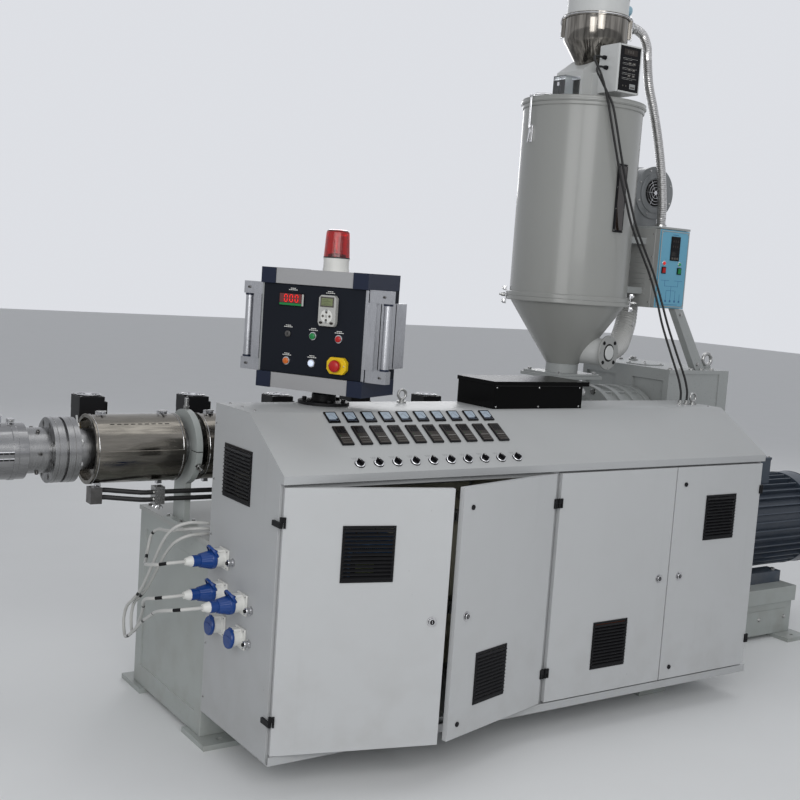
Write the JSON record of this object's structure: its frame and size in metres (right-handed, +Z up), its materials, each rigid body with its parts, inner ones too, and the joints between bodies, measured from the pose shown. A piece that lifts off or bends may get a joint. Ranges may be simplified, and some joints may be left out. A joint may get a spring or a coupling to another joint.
{
  "type": "plastic extruder",
  "caption": "Single-screw plastic extruder: heated barrel on a floor bed, gearbox and motor, control cabinet with swivel console, hopper dryer with vacuum loader.",
  "frame": {"origin": "on the floor, at the centre of the four corner anchor holes of the bed, straight below the screw axis", "axes": "+X along the screw from the die to the motor; -Y is the operator's side with the cabinet; +Z up"},
  "size_m": [4.4905, 1.4178, 3.182],
  "materials": {
    "bed_paint": "semi-gloss light grey paint, a little soiled",
    "pale_steel": "light grey paint on plate, worn at the edges",
    "cabinet_paint": "fine-textured light grey powder coat",
    "plate_paint": "plain pale paint",
    "switchgear": "moulded blue, white and black housings",
    "dark_steel": "black die-cast",
    "black_plastic": "fine-textured black",
    "pale_plastic": "smooth off-white",
    "bright_metal": "satin nickel",
    "socket_blue": "moulded blue and white",
    "console_panel": "anthracite front",
    "console_metal": "satin anodised",
    "control_mix": "coloured buttons and lamps",
    "beacon_red": "clear red dome on a white base",
    "machined_steel": "machined steel, lightly browned by heat",
    "stainless": "brushed stainless sheet",
    "dryer_paint": "smooth light grey powder coat",
    "motor_paint": "grey-blue paint",
    "duct_grey": "plain grey",
    "foil": "crinkled silver foil",
    "hose_wrap": "pale glass-cloth wrap"
  },
  "bodies": {
    "machine": {"bed_frame": "bed_paint", "bed_top_plate": "pale_steel", "bed_foot_plates": "pale_steel", "cabinet_outriggers": "bed_paint", "cabinet_ends": "cabinet_paint", "cabinet_back": "cabinet_paint", "cabinet_hood": "cabinet_paint", "cabinet_frame": "cabinet_paint", "cabinet_inner_plates": "plate_paint", "cabinet_components": "switchgear", "hinge_pins": "dark_steel", "end_vent": "black_plastic", "ammeters": "pale_plastic", "temperature_controllers": "black_plastic", "selector_knobs": "bright_metal", "cabinet_fittings": "bright_metal", "end_sockets": "socket_blue", "top_box": "black_plastic", "console_pedestal": "black_plastic", "barrel": "machined_steel", "barrel_flanges": "machined_steel", "die_adapter": "machined_steel", "heater_covers": "stainless", "barrel_support": "bed_paint", "cooling_fans": "black_plastic", "feed_block": "bed_paint", "dryer_neck": "bed_paint", "dryer_cone": "dryer_paint", "dryer_drum": "dryer_paint", "dryer_lid": "dryer_paint", "dryer_fittings": "stainless", "hot_air_unit": "stainless", "hot_air_blower": "stainless", "hot_air_hose": "hose_wrap", "return_air_hose": "foil", "vacuum_loader": "stainless", "loader_controls": "black_plastic", "thrust_housing": "bed_paint", "gearbox": "bed_paint", "drive_motor": "motor_paint", "barrel_conduits": "black_plastic", "cable_duct": "duct_grey", "loader_cable_1": "black_plastic", "loader_cable_2": "black_plastic", "lead_1": "pale_plastic", "lead_2": "pale_plastic", "lead_3": "pale_plastic"},
    "cabinet_door_1": {"door_1": "cabinet_paint", "door_1_fittings": "black_plastic"},
    "cabinet_door_2": {"door_2": "cabinet_paint", "door_2_fittings": "black_plastic"},
    "cabinet_door_3": {"door_3": "cabinet_paint", "door_3_fittings": "black_plastic"},
    "cabinet_door_4": {"door_4": "cabinet_paint", "door_4_fittings": "black_plastic"},
    "console": {"console_housing": "console_panel", "console_trim": "console_metal", "console_handles": "console_metal", "console_controls": "control_mix", "warning_beacon": "beacon_red"}
  },
  "joints": [
    {"name": "door_1_hinge", "type": "hinge", "parent": "machine", "child": "cabinet_door_1", "pos_m": [-1.6905, -0.857, 0.6], "axis": [0, 0, -1], "range_deg": [-15, 95]},
    {"name": "door_2_hinge", "type": "hinge", "parent": "machine", "child": "cabinet_door_2", "pos_m": [-0.5275, -0.857, 0.6], "axis": [0, 0, 1], "range_deg": [-15, 73]},
    {"name": "door_3_hinge", "type": "hinge", "parent": "machine", "child": "cabinet_door_3", "pos_m": [-0.5135, -0.857, 0.6], "axis": [0, 0, -1], "range_deg": [0, 88]},
    {"name": "door_4_hinge", "type": "hinge", "parent": "machine", "child": "cabinet_door_4", "pos_m": [0.6445, -0.857, 0.6], "axis": [0, 0, 1], "range_deg": [0, 110]},
    {"name": "console_swivel", "type": "hinge", "parent": "machine", "child": "console", "pos_m": [-1.2815, -0.378, 1.302], "axis": [0, 0, 1], "range_deg": [-25, 155]}
  ]
}
